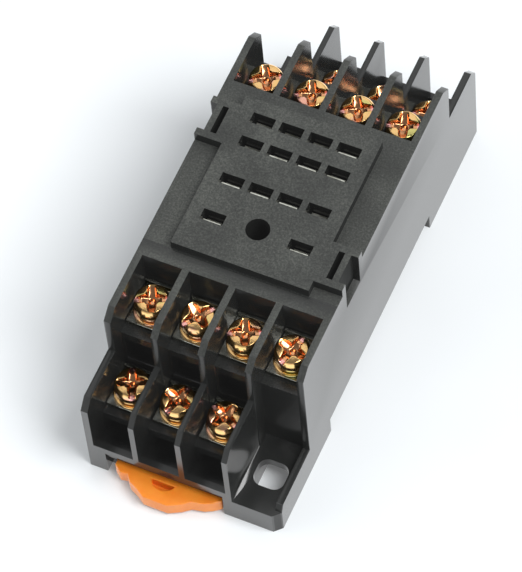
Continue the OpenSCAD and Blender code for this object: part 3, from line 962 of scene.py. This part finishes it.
class SOCKET_OT_washers(bpy.types.Operator):
    """Builds the flat and the split spring washers"""

    bl_idname = "socket.washers"
    bl_label = "Washers"

    def execute(self, context):
        look = context.scene.socket_metal
        film = yellow_zinc(look, "yellow_zinc_washers", (0.0, 0.0, 0.0))
        starts = np.random.default_rng(5).uniform(0, 2 * math.pi, len(TERMINALS))
        for count, number in enumerate(TERMINALS):
            x, y = middle(f"terminal_screw_{number}")
            flat = f"flat_washer_{number}"
            low, high = (Vector(corner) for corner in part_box(flat))
            points = ring_points(WASHER_BORE_RADIUS, (high.x - low.x) / 2, low.z, high.z, 0.12 * MM)
            mesh = grid_mesh(flat, points + [x, y, 0], wrap_u=True, wrap_v=True)
            piece = add_object(f"flat_washer_ring_{number}", mesh)
            finish_piece(piece, film, f"washers_{number}", "yellow_zinc", flat)

            split = f"spring_washer_{number}"
            low, high = (Vector(corner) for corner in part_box(split))
            outer = max(high.x - low.x, high.y - low.y) / 2
            points = ring_points(
                WASHER_BORE_RADIUS,
                outer,
                low.z,
                high.z - SPLIT_RISE,
                0.14 * MM,
                SPLIT_RISE,
                starts[count],
                SPLIT_SWEEP,
            )
            mesh = grid_mesh(split, points + [x, y, 0], wrap_v=True)
            piece = add_object(f"spring_washer_ring_{number}", mesh)
            finish_piece(piece, film, f"washers_{number}", "yellow_zinc", split)
        return {"FINISHED"}


class SOCKET_OT_stage(bpy.types.Operator):
    """Builds the pale floor, the soft lamps, the room and the camera"""

    bl_idname = "socket.stage"
    bl_label = "Stage"

    def execute(self, context):
        look = context.scene.socket_stage
        scene = context.scene
        floor_mesh = bpy.data.meshes.new("floor")
        half = FLOOR_HALF
        corners = [(-half, -half, 0), (half, -half, 0), (half, half, 0), (-half, half, 0)]
        floor_mesh.from_pydata(corners, [], [(0, 1, 2, 3)])
        floor_mesh.materials.append(studio_paper(look))
        floor = add_object("floor", floor_mesh)

        # name, power, side and place of each lamp, in W and m; all face the object
        lamps = (
            ("key_lamp", look.key_power, 0.5, (0.5, -0.05, 0.8)),
            ("fill_lamp", look.fill_power, 0.6, (-0.7, -0.25, 0.5)),
            ("card", look.card_power, 0.75, (-0.25, 0.46, 0.8)),
        )
        for name, power, size, place in lamps:
            data = bpy.data.lights.new(name, "AREA")
            data.energy = power
            data.size = size
            lamp = bpy.data.objects.new(name, data)
            scene.collection.objects.link(lamp)
            lamp.location = place
            lamp.rotation_euler = (-Vector(place)).to_track_quat("-Z", "Y").to_euler()

        world = bpy.data.worlds.new("studio_room")
        world.use_nodes = True
        tree = world.node_tree
        tree.nodes.clear()
        ray = add_node(tree, "ShaderNodeTexCoord")
        height = add_node(tree, "ShaderNodeSeparateXYZ", {0: ray.outputs["Generated"]})
        room = ramp(tree, height.outputs["Z"], [(0.35, look.horizon), (0.6, look.sky)])
        background = add_node(tree, "ShaderNodeBackground", {"Color": room, "Strength": 1.0})
        add_node(tree, "ShaderNodeOutputWorld", {"Surface": background.outputs[0]})
        scene.world = world
        scene.view_settings.view_transform = "Standard"

        azimuth, elevation, roll = (math.radians(a) for a in CAMERA_ANGLES)
        level_part = math.cos(elevation)
        away = Vector(
            (math.sin(azimuth) * level_part, -math.cos(azimuth) * level_part, math.sin(elevation))
        )
        level = (-away).cross(Vector((0, 0, 1))).normalized()
        rise = level.cross(-away)
        right = math.cos(roll) * level + math.sin(roll) * rise
        up = -math.sin(roll) * level + math.cos(roll) * rise
        lens = bpy.data.cameras.new("camera")
        lens.lens = CAMERA_LENS
        lens.sensor_width = 36.0
        lens.clip_start = 0.01
        camera = bpy.data.objects.new("camera", lens)
        scene.collection.objects.link(camera)
        turn = Matrix((right, up, away)).transposed().to_4x4()
        camera.matrix_world = Matrix.Translation(Vector(CAMERA_TARGET) + away * CAMERA_DISTANCE) @ turn
        scene.camera = camera
        return {"FINISHED"}


class SOCKET_PT_panel(bpy.types.Panel):
    """Lists the socket's pieces"""

    bl_idname = "SOCKET_PT_panel"
    bl_label = "Relay socket"
    bl_space_type = "VIEW_3D"
    bl_region_type = "UI"
    bl_category = "Relay socket"

    def draw(self, context):
        for operator in OPERATORS:
            self.layout.operator(operator.bl_idname)


LOOKS = {
    "socket_housing": HousingLook,
    "socket_metal": MetalLook,
    "socket_clip": ClipLook,
    "socket_stage": StageLook,
}
OPERATORS = (
    SOCKET_OT_housing,
    SOCKET_OT_clip,
    SOCKET_OT_contacts,
    SOCKET_OT_screws,
    SOCKET_OT_washers,
    SOCKET_OT_stage,
)
CLASSES = (*LOOKS.values(), *OPERATORS, SOCKET_PT_panel)


def register():
    for cls in CLASSES:
        bpy.utils.register_class(cls)
    for name, cls in LOOKS.items():
        setattr(bpy.types.Scene, name, bpy.props.PointerProperty(type=cls))


def unregister():
    for name in LOOKS:
        delattr(bpy.types.Scene, name)
    for cls in reversed(CLASSES):
        bpy.utils.unregister_class(cls)


def main():
    register()
    bpy.ops.socket.housing()
    bpy.ops.socket.clip()
    bpy.ops.socket.contacts()
    bpy.ops.socket.screws()
    bpy.ops.socket.washers()
    bpy.ops.socket.stage()


if __name__ == "__main__":
    main()
